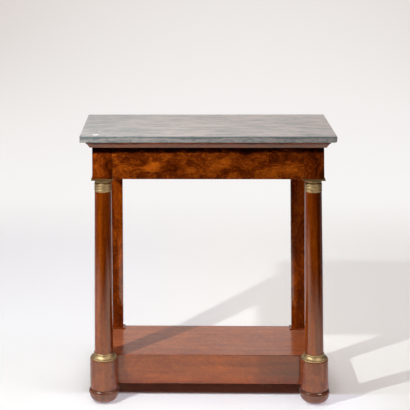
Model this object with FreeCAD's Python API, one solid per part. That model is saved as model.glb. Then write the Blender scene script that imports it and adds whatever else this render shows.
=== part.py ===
import FreeCAD, Part
import math
import os

# Mahogany pier table with a loose marble slab, a frieze drawer, two turned front
# columns with brass mounts, two flat pilasters at the back and a boxed base on feet.
#
# Frame: +Z up, +X to the right of somebody facing the drawer, -Y towards them.
# The origin is on the floor, under the middle of the marble slab. Millimetres.

# ---------------------------------------------------------------- driving sizes

# Marble slab
table_height = 870.0
marble_width = 820.0
marble_depth = 380.0
marble_thickness = 20.0
marble_arris = 1.0

# How far the slab stands out past the frieze
side_overhang = 37.5
front_overhang = 37.5
back_overhang = 17.5

# Cornice frame, mitred at its front corners, that carries the slab
cornice_height = 22.0
cornice_projection = 20.0
cornice_quirk = 7.5
cornice_fillet = 5.0
cornice_hollow_depth = 0.9
cornice_bearing_width = 50.0

# Frieze box
frieze_height = 103.0
corner_block_width = 64.0
corner_block_depth = 73.0
frieze_side_thickness = 22.0
frieze_back_thickness = 20.0
top_rail_thickness = 16.0
lower_rail_thickness = 14.0
finger_height = 10.0
rail_housing = 12.0
side_tenon_thickness = 10.0
side_tenon_length = 20.0
side_tenon_shoulder = 16.0

# Drawer carcase parts
runner_overlap = 8.0
guide_width = 20.0
guide_height = 20.0
stop_width = 40.0
stop_depth = 15.0
stop_height = 5.0
stop_end_distance = 128.5

# Drawer
drawer_front_thickness = 20.0
drawer_side_thickness = 12.0
drawer_back_thickness = 12.0
drawer_bottom_thickness = 6.0
drawer_bottom_lift = 8.0
drawer_groove_depth = 5.0
drawer_lap = 7.0
drawer_back_drop = 5.0
finger_groove_radius = 8.0
tail_count = 3
tail_flare = 2.0

# Clearances of the drawer in its opening
drawer_side_clearance = 1.0
drawer_top_gap = 1.5
drawer_closing_gap = 2.0
drawer_rear_space = 15.0
drawer_stop_gap = 0.3
drawer_running_gap = 0.3
drawer_kicker_gap = 2.0

# Front columns and their brass mounts
column_top_radius = 27.4
column_foot_radius = 30.4
column_neck_radius = 24.0
column_top_spigot_radius = 11.0
column_top_spigot_length = 25.0
column_foot_spigot_radius = 12.5
column_foot_spigot_length = 35.0
abacus_side = 72.0
abacus_thickness = 5.5
abacus_arris = 0.8
capital_height = 41.0
capital_radius = 28.3
capital_bead_count = 3
capital_bead_height = 9.3
capital_bead_relief = 1.1
capital_hollow_height = 5.0
capital_hollow_depth = 2.4
ring_height = 19.5
ring_foot_radius = 43.0
ring_foot_height = 5.0
ring_step = 1.6
ring_hollow_depth = 1.6
ring_waist_radius = 31.6
ring_lip_radius = 32.6
ring_lip_height = 3.6

# Base box with its shelf
foot_height = 44.5
base_height = 93.0
base_setback = 22.5
base_rail_thickness = 20.0
shelf_thickness = 18.0
shelf_lip = 4.0
plinth_block_radius = 45.0
plinth_block_arris = 0.8

# Back pilasters
pilaster_width = 82.0
pilaster_thickness = 30.0
pilaster_tenon_width = 50.0
pilaster_tenon_thickness = 10.0
pilaster_tenon_inset = 6.0
pilaster_tenon_depth = 25.0
pilaster_foot_height = 4.0
pilaster_foot_projection = 7.0

# Turned front feet
foot_neck_radius = 43.0
foot_neck_height = 3.0
foot_rim_radius = 49.3
foot_shoulder_height = 10.5
foot_shoulder_width = 4.8
foot_tuck_height = 3.5
foot_tuck_width = 1.7
foot_bowl_radius = 27.0
foot_contact_radius = 21.5
foot_spigot_radius = 12.0
foot_spigot_length = 30.0

# Square back feet
back_foot_side = 55.0
back_foot_inset = 5.0
back_foot_chamfer = 3.0

# Glue blocks, dowels, screws and nails
glue_block_side = 35.0
glue_block_shelf_gap = 5.0
foot_dowel_radius = 6.0
foot_dowel_length = 40.0
plinth_dowel_radius = 5.0
plinth_dowel_length = 34.0
plinth_dowel_offset = 25.0
plinth_dowel_margin = 22.0
screw_length = 34.0
screw_radius = 2.2
screw_head_radius = 4.5
screw_head_height = 2.8
nail_radius = 1.2
nail_length = 20.0
nail_spacing = 220.0

# Clearance of a spigot, tenon, dowel or panel in its socket
joint_clearance = 0.1

# ---------------------------------------------------------------- derived places

frieze_half = marble_width / 2 - side_overhang
frieze_front = -marble_depth / 2 + front_overhang
carcase_back = marble_depth / 2 - back_overhang

marble_bottom = table_height - marble_thickness
cornice_bottom = marble_bottom - cornice_height
frieze_bottom = cornice_bottom - frieze_height

block_inner = frieze_half - corner_block_width
block_back = frieze_front + corner_block_depth
side_inner = frieze_half - frieze_side_thickness
back_inner = carcase_back - frieze_back_thickness

column_x = frieze_half - corner_block_width / 2
column_y = frieze_front + corner_block_depth / 2
abacus_bottom = frieze_bottom - abacus_thickness
capital_bottom = abacus_bottom - capital_height

shelf_top = foot_height + base_height
shelf_bottom = shelf_top - shelf_thickness
base_front = column_y + base_setback

rail_front = frieze_front + drawer_front_thickness + drawer_closing_gap
lower_rail_bottom = frieze_bottom + finger_height
runner_top = lower_rail_bottom + lower_rail_thickness
kicker_bottom = cornice_bottom - top_rail_thickness

drawer_half = block_inner - drawer_side_clearance
drawer_inner = drawer_half - drawer_side_thickness
drawer_front_back = frieze_front + drawer_front_thickness
drawer_rear = back_inner - drawer_rear_space
drawer_side_bottom = runner_top + drawer_running_gap
drawer_side_top = kicker_bottom - drawer_kicker_gap
drawer_panel_bottom = drawer_side_bottom + drawer_bottom_lift
drawer_panel_top = drawer_panel_bottom + drawer_bottom_thickness

pilaster_inner = frieze_half - pilaster_width
pilaster_front = carcase_back - pilaster_thickness
pilaster_bottom = shelf_top + pilaster_foot_height
pilaster_middle = frieze_half - pilaster_width / 2


# ---------------------------------------------------------------- small helpers

def box(x0, x1, y0, y1, z0, z1):
    """A block between two x, two y and two z places."""
    corner = FreeCAD.Vector(min(x0, x1), min(y0, y1), min(z0, z1))
    return Part.makeBox(abs(x1 - x0), abs(y1 - y0), abs(z1 - z0), corner)


def peg(radius, length, x, y, z, direction=(0, 0, 1)):
    """A round peg that starts at a point and runs along a direction."""
    return Part.makeCylinder(radius, length, FreeCAD.Vector(x, y, z), FreeCAD.Vector(*direction))


def line(start, end):
    """A straight edge of a turned profile, from (radius, height) to (radius, height)."""
    return Part.LineSegment(
        FreeCAD.Vector(start[0], 0, start[1]), FreeCAD.Vector(end[0], 0, end[1])).toShape()


def arc(start, middle, end):
    """A round edge of a turned profile through three (radius, height) points."""
    return Part.Arc(
        FreeCAD.Vector(start[0], 0, start[1]),
        FreeCAD.Vector(middle[0], 0, middle[1]),
        FreeCAD.Vector(end[0], 0, end[1])).toShape()


def swelling(widest, height, width, rise):
    """Middle and end of an arc that starts upright at its widest point and curves inwards.

    It ends width nearer the axis and rise higher, or lower where rise is negative.
    """
    radius = (width ** 2 + rise ** 2) / (2 * width)
    half_turn = math.asin(rise / radius) / 2
    middle = (widest - radius + radius * math.cos(half_turn), height + radius * math.sin(half_turn))
    return middle, (widest - width, height + rise)


def turned(edges, x, y):
    """The solid that a closed profile of edges sweeps round the upright axis at x, y."""
    face = Part.Face(Part.Wire(edges))
    solid = face.revolve(FreeCAD.Vector(0, 0, 0), FreeCAD.Vector(0, 0, 1), 360)
    solid.translate(FreeCAD.Vector(x, y, 0))
    return solid


def straight_profile(points):
    """Edges that join (radius, height) points in turn and close the outline."""
    return [line(points[i], points[(i + 1) % len(points)]) for i in range(len(points))]


def prism(points, height, z):
    """An upright prism on a closed outline of (x, y) points."""
    corners = [FreeCAD.Vector(x, y, z) for x, y in points]
    return Part.Face(Part.makePolygon(corners + corners[:1])).extrude(FreeCAD.Vector(0, 0, height))


def mirrored(shape):
    """The left-hand twin of a right-hand piece."""
    return shape.mirror(FreeCAD.Vector(0, 0, 0), FreeCAD.Vector(1, 0, 0))


def both_sides(shape):
    """A right-hand tool together with its left-hand twin."""
    return Part.makeCompound([shape, mirrored(shape)])


def save(node, shape):
    """Write one piece, or one group of like pieces, to its own STEP file."""
    shape.exportStep("parts/" + node + ".step")


def save_pair(node, right_hand):
    """Write a right-hand piece and its mirrored left-hand twin."""
    save(node + "_right", right_hand)
    save(node + "_left", mirrored(right_hand))


# ---------------------------------------------------------------- marble and cornice

def marble_slab():
    """The loose slab, with its arrises eased."""
    slab = box(-marble_width / 2, marble_width / 2, -marble_depth / 2, marble_depth / 2,
               marble_bottom, table_height)
    return slab.makeChamfer(marble_arris, slab.Edges)


def cornice_section(place):
    """Section of the cornice: a flat back part, a hollow that flares out, and a fillet on top.

    The place function turns (distance out from the frieze, height) into a point in space.
    """
    flare_top = marble_bottom - cornice_fillet
    rise = flare_top - cornice_bottom
    run = cornice_projection - cornice_quirk
    chord = math.hypot(rise, run)
    hollow = ((cornice_quirk + cornice_projection) / 2 - cornice_hollow_depth * rise / chord,
              (cornice_bottom + flare_top) / 2 + cornice_hollow_depth * run / chord)
    corners = [place(out, z) for out, z in (
        (cornice_projection, flare_top),
        (cornice_projection, marble_bottom),
        (-cornice_bearing_width, marble_bottom),
        (-cornice_bearing_width, cornice_bottom),
        (cornice_quirk, cornice_bottom))]
    edges = [Part.LineSegment(*ends).toShape() for ends in zip(corners, corners[1:])]
    edges.append(Part.Arc(corners[-1], place(*hollow), corners[0]).toShape())
    return Part.Face(Part.Wire(edges))


def cornice_front():
    """The front member, cut off at 45 degrees at both ends."""
    outer = frieze_half + cornice_projection
    inner = frieze_half - cornice_bearing_width
    section = cornice_section(lambda out, z: FreeCAD.Vector(-outer, frieze_front - out, z))
    mitre = prism([
        (-outer, frieze_front - cornice_projection),
        (outer, frieze_front - cornice_projection),
        (inner, frieze_front + cornice_bearing_width),
        (-inner, frieze_front + cornice_bearing_width)], cornice_height, cornice_bottom)
    return section.extrude(FreeCAD.Vector(2 * outer, 0, 0)).common(mitre)


def cornice_side():
    """The right-hand member, mitred to the front one and square at the back."""
    outer = frieze_half + cornice_projection
    inner = frieze_half - cornice_bearing_width
    start = frieze_front - cornice_projection
    section = cornice_section(lambda out, z: FreeCAD.Vector(frieze_half + out, start, z))
    mitre = prism([
        (outer, start),
        (outer, carcase_back),
        (inner, carcase_back),
        (inner, frieze_front + cornice_bearing_width)], cornice_height, cornice_bottom)
    return section.extrude(FreeCAD.Vector(0, carcase_back - start, 0)).common(mitre)


def cornice_back():
    """The plain back member between the two side members."""
    inner = frieze_half - cornice_bearing_width
    return box(-inner, inner, carcase_back - cornice_bearing_width, carcase_back,
               cornice_bottom, marble_bottom)


def cornice_screw_places():
    """Where screws go down through the cornice frame into the frieze box."""
    side_x = frieze_half - frieze_side_thickness / 2
    block_y = (frieze_front + column_y) / 2
    rail_y = (rail_front + frieze_front + cornice_bearing_width) / 2
    back_y = carcase_back - frieze_back_thickness / 2
    side_run = back_inner - block_back
    return [
        (-column_x, block_y), (0, rail_y), (column_x, block_y),
        (-side_x, block_back + side_run / 4), (side_x, block_back + side_run / 4),
        (-side_x, block_back + side_run * 3 / 4), (side_x, block_back + side_run * 3 / 4),
        (-block_inner / 2, back_y), (0, back_y), (block_inner / 2, back_y),
    ]


def cornice_screw(x, y, grow=0.0):
    """One countersunk screw, or the hole for it when grow is the clearance round it."""
    top = marble_bottom - joint_clearance
    tip = top - screw_length - grow
    shank = screw_radius + grow
    head = screw_head_radius + grow
    profile = [(0, tip), (shank, tip + shank), (shank, top - screw_head_height), (head, top)]
    if grow:
        profile.append((head, top + grow))
    profile.append((0, top + grow))
    return turned(straight_profile(profile), x, y)


def cornice_screws(grow=0.0):
    """All the screws of the cornice frame, or all their holes."""
    return Part.makeCompound([cornice_screw(x, y, grow) for x, y in cornice_screw_places()])


# ---------------------------------------------------------------- frieze box

def corner_block():
    """The solid block over a column, with its housings, mortise and spigot socket."""
    block = box(block_inner, frieze_half, frieze_front, block_back, frieze_bottom, cornice_bottom)
    socket = peg(column_top_spigot_radius + joint_clearance,
                 column_top_spigot_length + joint_clearance, column_x, column_y, frieze_bottom)
    return block.cut(socket).cut(side_tenon(joint_clearance)).cut(front_rails())


def side_tenon(grow=0.0):
    """The tenon at the front end of the right-hand frieze side, or its mortise."""
    middle = frieze_half - frieze_side_thickness / 2
    half = side_tenon_thickness / 2 + grow
    return box(middle - half, middle + half,
               block_back - side_tenon_length - grow, block_back,
               frieze_bottom + side_tenon_shoulder - grow,
               cornice_bottom - side_tenon_shoulder + grow)


def frieze_side():
    """The right-hand side board of the frieze with its tenon."""
    board = box(side_inner, frieze_half, block_back, back_inner, frieze_bottom, cornice_bottom)
    return board.fuse(side_tenon())


def frieze_back():
    """The full-width back board, mortised from below for the pilasters."""
    board = box(-frieze_half, frieze_half, back_inner, carcase_back, frieze_bottom, cornice_bottom)
    return board.cut(both_sides(pilaster_tenons(joint_clearance)))


def front_rail(z0, z1):
    """A flat rail behind the drawer front, housed into both corner blocks."""
    reach = block_inner + rail_housing
    return box(-reach, reach, rail_front, block_back, z0, z1)


def top_front_rail():
    return front_rail(kicker_bottom, cornice_bottom)


def lower_front_rail():
    return front_rail(lower_rail_bottom, runner_top)


def front_rails():
    return Part.makeCompound([top_front_rail(), lower_front_rail()])


def drawer_runner():
    """The right-hand strip that the drawer side slides on."""
    return box(drawer_inner - runner_overlap, side_inner, block_back, back_inner,
               lower_rail_bottom, runner_top)


def drawer_guide():
    """The right-hand strip on the runner that keeps the drawer straight."""
    return box(block_inner, block_inner + guide_width, block_back, back_inner,
               runner_top, runner_top + guide_height)


def drawer_kicker():
    """The right-hand strip above the drawer side that stops the drawer tipping."""
    return box(drawer_inner - runner_overlap, side_inner, block_back, back_inner,
               kicker_bottom, cornice_bottom)


def drawer_stops():
    """Two small blocks on the lower rail that the closed drawer front meets."""
    front = drawer_front_back + drawer_stop_gap
    middle = block_inner - stop_end_distance
    stop = box(middle - stop_width / 2, middle + stop_width / 2,
               front, front + stop_depth, runner_top, runner_top + stop_height)
    return both_sides(stop)


# ---------------------------------------------------------------- drawer

def tails(y_root, y_tip, z0, z1):
    """A row of right-hand dovetails that widen from y_root to y_tip."""
    pitch = (z1 - z0) / tail_count
    row = []
    for i in range(tail_count):
        middle = z0 + pitch * (i + 0.5)
        root_half = pitch / 4
        tip_half = root_half + tail_flare
        corners = [
            FreeCAD.Vector(drawer_inner, y_root, middle - root_half),
            FreeCAD.Vector(drawer_inner, y_root, middle + root_half),
            FreeCAD.Vector(drawer_inner, y_tip, middle + tip_half),
            FreeCAD.Vector(drawer_inner, y_tip, middle - tip_half)]
        face = Part.Face(Part.makePolygon(corners + corners[:1]))
        row.append(face.extrude(FreeCAD.Vector(drawer_side_thickness, 0, 0)))
    return Part.makeCompound(row)


def front_tails():
    """The tails that lap into the drawer front."""
    return tails(drawer_front_back, frieze_front + drawer_lap, drawer_side_bottom, drawer_side_top)


def drawer_bottom(grow=0.0):
    """The bottom panel, or the grooves for it when grow is the clearance round it."""
    reach = drawer_inner + drawer_groove_depth
    return box(-reach, reach, drawer_front_back - drawer_groove_depth, drawer_rear,
               drawer_panel_bottom - grow, drawer_panel_top + grow)


def drawer_back():
    """The back board between the sides, socketed for their rear tails."""
    board = box(-drawer_half, drawer_half, drawer_rear - drawer_back_thickness, drawer_rear,
                drawer_panel_top, drawer_side_top - drawer_back_drop)
    rear_tails = tails(drawer_rear - drawer_back_thickness, drawer_rear,
                       drawer_panel_top, drawer_side_top - drawer_back_drop)
    return board.cut(both_sides(rear_tails)).cut(drawer_nails())


def drawer_side():
    """The right-hand side with lapped tails in front and through tails behind."""
    board = box(drawer_inner, drawer_half, drawer_front_back, drawer_rear,
                drawer_side_bottom, drawer_side_top)
    return board.fuse(front_tails()).removeSplitter().cut(drawer_back()).cut(
        drawer_bottom(joint_clearance))


def drawer_front():
    """The front, full height of the frieze, with a groove for the fingers under it."""
    board = box(-drawer_half, drawer_half, frieze_front, drawer_front_back,
                frieze_bottom, cornice_bottom - drawer_top_gap)
    finger_groove = peg(finger_groove_radius, 2 * drawer_inner, -drawer_inner,
                        drawer_front_back, frieze_bottom, (1, 0, 0))
    return board.cut(both_sides(front_tails())).cut(drawer_bottom(joint_clearance)).cut(finger_groove)


def drawer_nails():
    """Three nails that pin the bottom panel up into the drawer back."""
    y = drawer_rear - drawer_back_thickness / 2
    return Part.makeCompound([
        peg(nail_radius, nail_length, i * nail_spacing, y, drawer_panel_bottom)
        for i in (-1, 0, 1)])


# ---------------------------------------------------------------- columns and brass mounts

def column():
    """The right-hand column: foot spigot, tapered shaft, neck and top spigot."""
    neck = column_neck_radius
    return turned(straight_profile([
        (0, shelf_top - column_foot_spigot_length),
        (column_foot_spigot_radius, shelf_top - column_foot_spigot_length),
        (column_foot_spigot_radius, shelf_top),
        (column_foot_radius, shelf_top),
        (column_top_radius, capital_bottom),
        (neck, capital_bottom),
        (neck, abacus_bottom),
        (column_top_spigot_radius, abacus_bottom),
        (column_top_spigot_radius, frieze_bottom + column_top_spigot_length),
        (0, frieze_bottom + column_top_spigot_length)]), column_x, column_y)


def abacus():
    """The thin square brass plate between the capital and the corner block."""
    half = abacus_side / 2
    plate = box(column_x - half, column_x + half, column_y - half, column_y + half,
                abacus_bottom, frieze_bottom)
    plate = plate.makeChamfer(abacus_arris, plate.Edges)
    hole = peg(column_top_spigot_radius + joint_clearance, abacus_thickness,
               column_x, column_y, abacus_bottom)
    return plate.cut(hole)


def capital():
    """The brass capital: a sleeve with a row of beads, a hollow and a plain top band."""
    bore = column_neck_radius + joint_clearance
    valley = capital_radius - capital_bead_relief
    hollow = capital_radius - capital_hollow_depth
    starts = [capital_bottom + capital_bead_height * i for i in range(capital_bead_count)]
    beads = [
        arc((valley, z), (capital_radius, z + capital_bead_height / 2), (valley, z + capital_bead_height))
        for z in starts]
    hollow_bottom = starts[-1] + capital_bead_height
    band_bottom = hollow_bottom + capital_hollow_height
    edges = [line((bore, capital_bottom), (valley, capital_bottom))] + beads + [
        arc((valley, hollow_bottom), (hollow, (hollow_bottom + band_bottom) / 2), (valley, band_bottom)),
        line((valley, band_bottom), (capital_radius, band_bottom + capital_bead_relief)),
        line((capital_radius, band_bottom + capital_bead_relief), (capital_radius, abacus_bottom)),
        line((capital_radius, abacus_bottom), (bore, abacus_bottom)),
        line((bore, abacus_bottom), (bore, capital_bottom)),
    ]
    return turned(edges, column_x, column_y)


def base_ring():
    """The brass ring round the foot of the column: rounded foot, step, sweeping hollow and lip."""
    bore = column_foot_radius + joint_clearance
    foot = ring_foot_radius
    foot_top = shelf_top + ring_foot_height
    top = shelf_top + ring_height
    lip_bottom = top - ring_lip_height
    step = foot - ring_step
    hollow = ((step + ring_waist_radius) / 2 - ring_hollow_depth,
              (foot_top + lip_bottom) / 2 - ring_hollow_depth)
    edges = [
        line((bore, shelf_top), (step, shelf_top)),
        arc((step, shelf_top), (foot, (shelf_top + foot_top) / 2), (step, foot_top)),
        arc((step, foot_top), hollow, (ring_waist_radius, lip_bottom)),
        arc((ring_waist_radius, lip_bottom),
            (ring_lip_radius, (lip_bottom + top) / 2),
            (ring_waist_radius, top)),
        line((ring_waist_radius, top), (bore, top)),
        line((bore, top), (bore, shelf_top)),
    ]
    return turned(edges, column_x, column_y)


# ---------------------------------------------------------------- base box and feet

def plinth_block():
    """The right-hand round block, notched over the corner of the base box."""
    r = plinth_block_radius
    a = plinth_block_arris
    block = turned(straight_profile([
        (0, foot_height),
        (r - a, foot_height),
        (r, foot_height + a),
        (r, shelf_top - a),
        (r - a, shelf_top),
        (0, shelf_top)]), column_x, column_y)
    reach = 2 * r
    notch = box(column_x - reach, frieze_half, base_front, column_y + reach,
                foot_height, shelf_top)
    column_socket = peg(column_foot_spigot_radius + joint_clearance,
                        column_foot_spigot_length + joint_clearance,
                        column_x, column_y, shelf_top, (0, 0, -1))
    foot_socket = peg(foot_spigot_radius + joint_clearance,
                      foot_spigot_length + joint_clearance, column_x, column_y, foot_height)
    return block.cut(notch).cut(column_socket).cut(foot_socket).cut(
        plinth_dowel_pair(joint_clearance))


def plinth_dowel_pair(grow=0.0):
    """Two right-hand dowels through the base front rail into the round block."""
    x = column_x - plinth_dowel_offset
    y = base_front + base_rail_thickness
    heights = (foot_height + plinth_dowel_margin, shelf_bottom - plinth_dowel_margin / 2)
    return Part.makeCompound([
        peg(plinth_dowel_radius + grow, plinth_dowel_length + grow, x, y, z, (0, -1, 0))
        for z in heights])


def shelf_board(grow=0.0):
    """The shelf, let into the rebates of the base rails, or the rebates themselves."""
    reach = frieze_half - shelf_lip
    board = box(-reach, reach, base_front + shelf_lip, carcase_back - shelf_lip,
                shelf_bottom, shelf_top)
    if grow:
        return board
    return board.cut(both_sides(pilaster_tenons(joint_clearance)))


def base_front_rail():
    rail = box(-frieze_half, frieze_half, base_front, base_front + base_rail_thickness,
               foot_height, shelf_top)
    return rail.cut(shelf_board(joint_clearance)).cut(both_sides(plinth_dowel_pair(joint_clearance)))


def base_back_rail():
    rail = box(-frieze_half, frieze_half, carcase_back - base_rail_thickness, carcase_back,
               foot_height, shelf_top)
    return rail.cut(shelf_board(joint_clearance)).cut(both_sides(pilaster_tenons(joint_clearance)))


def base_side_rail():
    rail = box(frieze_half - base_rail_thickness, frieze_half,
               base_front + base_rail_thickness, carcase_back - base_rail_thickness,
               foot_height, shelf_top)
    return rail.cut(shelf_board(joint_clearance))


def glue_block_corner():
    """Inner corner of the right-hand rails, where a glue block's two faces meet."""
    return frieze_half - base_rail_thickness


def glue_blocks():
    """Four square blocks in the inner corners of the base box, drilled for the foot dowels."""
    corner = glue_block_corner()
    front = base_front + base_rail_thickness
    back = carcase_back - base_rail_thickness
    pair = Part.makeCompound([
        box(corner - glue_block_side, corner, y, y + step, foot_height,
            shelf_bottom - glue_block_shelf_gap)
        for y, step in ((front, glue_block_side), (back, -glue_block_side))])
    return both_sides(pair.cut(foot_dowel(joint_clearance)))


def foot_dowel(grow=0.0):
    """The right-hand dowel from a back foot up into its glue block, or its hole."""
    x = glue_block_corner() - glue_block_side / 2
    y = carcase_back - base_rail_thickness - glue_block_side / 2
    length = foot_dowel_length + 2 * grow
    return peg(foot_dowel_radius + grow, length, x, y, foot_height - length / 2)


def back_foot():
    """The right-hand back foot, a plain square block with its lower edges chamfered."""
    outer = frieze_half - back_foot_inset
    rear = carcase_back - back_foot_inset
    block = box(outer - back_foot_side, outer, rear - back_foot_side, rear, 0, foot_height)
    bottom_edges = [edge for edge in block.Edges if edge.BoundBox.ZMax < foot_height / 2]
    return block.makeChamfer(back_foot_chamfer, bottom_edges).cut(foot_dowel(joint_clearance))


def front_foot():
    """The turned front foot: spigot, neck, sloping shoulder, rim and a bowl on a small flat pad."""
    rim_height = foot_height - foot_neck_height - foot_shoulder_height
    rim = (foot_rim_radius, rim_height)
    shoulder_middle, shoulder = swelling(*rim, foot_shoulder_width, foot_shoulder_height)
    tuck_middle, bowl_edge = swelling(*rim, foot_tuck_width, -foot_tuck_height)
    centre = bowl_edge[0] - foot_bowl_radius
    pad = foot_contact_radius
    bowl_depth = math.sqrt(foot_bowl_radius ** 2 - (pad - centre) ** 2)
    pad_top = bowl_edge[1] - bowl_depth
    half_turn = math.atan2(bowl_depth, pad - centre) / 2
    bowl_middle = (centre + foot_bowl_radius * math.cos(half_turn),
                   bowl_edge[1] - foot_bowl_radius * math.sin(half_turn))
    spigot_top = foot_height + foot_spigot_length
    edges = [
        line((0, 0), (pad, 0)),
        line((pad, 0), (pad, pad_top)),
        arc((pad, pad_top), bowl_middle, bowl_edge),
        arc(bowl_edge, tuck_middle, rim),
        arc(rim, shoulder_middle, shoulder),
        line(shoulder, (foot_neck_radius, shoulder[1])),
        line((foot_neck_radius, shoulder[1]), (foot_neck_radius, foot_height)),
        line((foot_neck_radius, foot_height), (foot_spigot_radius, foot_height)),
        line((foot_spigot_radius, foot_height), (foot_spigot_radius, spigot_top)),
        line((foot_spigot_radius, spigot_top), (0, spigot_top)),
        line((0, spigot_top), (0, 0)),
    ]
    return turned(edges, column_x, column_y)


# ---------------------------------------------------------------- back pilasters

def pilaster_tenons(grow=0.0):
    """The right-hand pilaster's two tenons as one tall bar, or the mortises for them."""
    half = pilaster_tenon_width / 2 + grow
    back = carcase_back - pilaster_tenon_inset + grow
    return box(pilaster_middle - half, pilaster_middle + half,
               back - pilaster_tenon_thickness - 2 * grow, back,
               shelf_bottom - pilaster_tenon_depth - grow,
               frieze_bottom + pilaster_tenon_depth + grow)


def pilaster():
    """The right-hand back upright, tenoned into the base and the frieze."""
    board = box(pilaster_inner, frieze_half, pilaster_front, carcase_back,
                pilaster_bottom, frieze_bottom)
    return board.fuse(pilaster_tenons()).removeSplitter()


def pilaster_foot():
    """The thin plinth plate under the right-hand pilaster, slotted for its tenon."""
    plate = box(pilaster_inner - pilaster_foot_projection, frieze_half,
                pilaster_front - pilaster_foot_projection, carcase_back,
                shelf_top, pilaster_bottom)
    return plate.cut(pilaster_tenons(joint_clearance))


# ---------------------------------------------------------------- build

def build():
    """Make every piece and write it to parts/."""
    os.makedirs("parts", exist_ok=True)
    screw_holes = cornice_screws(joint_clearance)

    save("marble_top", marble_slab())
    save("cornice_front", cornice_front().cut(screw_holes))
    save("cornice_back", cornice_back().cut(screw_holes))
    for node, shape in (("cornice_side_right", cornice_side()),
                        ("cornice_side_left", mirrored(cornice_side()))):
        save(node, shape.cut(screw_holes))
    save("cornice_screws", cornice_screws())

    save_pair("corner_block", corner_block().cut(screw_holes))
    save_pair("frieze_side", frieze_side().cut(screw_holes))
    save("frieze_back", frieze_back().cut(screw_holes))
    save("top_front_rail", top_front_rail().cut(screw_holes))
    save("lower_front_rail", lower_front_rail())
    save_pair("drawer_runner", drawer_runner())
    save_pair("drawer_guide", drawer_guide())
    save_pair("drawer_kicker", drawer_kicker())
    save("drawer_stops", drawer_stops())

    save("drawer_front", drawer_front())
    save_pair("drawer_side", drawer_side())
    save("drawer_back", drawer_back())
    save("drawer_bottom", drawer_bottom().cut(drawer_nails()))
    save("drawer_nails", drawer_nails())

    save_pair("column", column())
    save_pair("abacus", abacus())
    save_pair("capital", capital())
    save_pair("base_ring", base_ring())

    save_pair("plinth_block", plinth_block())
    save("plinth_dowels", both_sides(plinth_dowel_pair()))
    save("base_front_rail", base_front_rail())
    save("base_back_rail", base_back_rail())
    save_pair("base_side_rail", base_side_rail())
    save("shelf_board", shelf_board())
    save("glue_blocks", glue_blocks())
    save_pair("front_foot", front_foot())
    save_pair("back_foot", back_foot())
    save("back_foot_dowels", both_sides(foot_dowel()))

    save_pair("pilaster", pilaster())
    save_pair("pilaster_foot", pilaster_foot())


build()
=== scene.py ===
import math

import bpy
import numpy as np
from bpy.props import FloatProperty, FloatVectorProperty, PointerProperty
from bpy.types import Operator, Panel, PropertyGroup
from mathutils import Matrix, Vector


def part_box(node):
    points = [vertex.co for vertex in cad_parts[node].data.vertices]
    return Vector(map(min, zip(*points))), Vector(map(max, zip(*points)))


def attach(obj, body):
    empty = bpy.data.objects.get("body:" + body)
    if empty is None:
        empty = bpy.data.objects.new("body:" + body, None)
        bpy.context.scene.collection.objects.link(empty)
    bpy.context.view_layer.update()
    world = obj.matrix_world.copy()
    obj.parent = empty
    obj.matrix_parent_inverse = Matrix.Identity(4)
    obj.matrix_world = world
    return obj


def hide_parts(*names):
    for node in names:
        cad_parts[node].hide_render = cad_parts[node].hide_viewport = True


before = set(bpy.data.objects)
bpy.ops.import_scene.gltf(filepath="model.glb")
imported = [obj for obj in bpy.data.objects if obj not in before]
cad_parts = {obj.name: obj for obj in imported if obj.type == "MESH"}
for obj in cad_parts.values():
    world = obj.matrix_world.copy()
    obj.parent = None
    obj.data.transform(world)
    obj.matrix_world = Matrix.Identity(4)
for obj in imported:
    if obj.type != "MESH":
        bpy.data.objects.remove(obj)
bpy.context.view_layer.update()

bl_info = {
    "name": "Pier table",
    "version": (1, 0, 0),
    "blender": (4, 5, 0),
    "location": "3D View > Sidebar > Pier Table",
    "description": "Veneers, marble, brass mounts and studio for a pier table",
    "category": "Add Mesh",
}

# Record slots of the pieces made here
MARBLE, MAHOGANY, FEET, BRASS = "grey_marble", "mahogany", "mahogany_feet", "gilt_brass"

# Directions in the frame
RIGHT, LEFT, FRONT, BACK, UP = np.array([
    (1.0, 0.0, 0.0), (-1.0, 0.0, 0.0), (0.0, -1.0, 0.0), (0.0, 1.0, 0.0), (0.0, 0.0, 1.0)])

# Orders of the grain coordinates: the axis that the grain runs along comes first
ALONG_X, ALONG_Y, ALONG_Z = (0, 1, 2), (1, 0, 2), (2, 0, 1)

# The order for an upright piece whose patches are placed by height and width
UP_AND_ACROSS = (2, 1, 0)

SIDES = ("left", "right")

# Edges that turn by more than this angle are shaded as sharp
SHARP_ANGLE = math.radians(38)

# Distance between the cut lines of a plain block, and of the slab, close enough for its chips
BLOCK_SPACING, SLAB_SPACING = 0.02, 0.005


# ---------------------------------------------------------------- surfaces

def grid_quads(rows, columns, round_rows=False, round_columns=False):
    """Corner numbers of the quads of a grid of points, row by row, closed round where asked."""
    row = np.arange(rows if round_rows else rows - 1)[:, None]
    column = np.arange(columns if round_columns else columns - 1)[None, :]
    above, after = (row + 1) % rows, (column + 1) % columns
    corners = (row * columns + column, row * columns + after,
               above * columns + after, above * columns + column)
    return np.stack(np.broadcast_arrays(*corners), -1).reshape(-1, 4)


def end_caps(rows, columns):
    """Corner numbers of the faces that close the first and the last row of a round grid."""
    first = np.arange(columns)
    return [first[::-1], first + (rows - 1) * columns]


def eased_grid(low, high, ease, spacing):
    """Cut lines from low to high: close together within the eased ends, even between them."""
    ends = ease * np.array([0.0, 0.3, 0.6, 0.85, 1.0])
    count = max(2, int(round((high - low - 2 * ease) / spacing)) + 1)
    middle = np.linspace(low + ease, high - ease, count)
    return np.concatenate([low + ends[:-1], middle, high - ends[-2::-1]])


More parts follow.
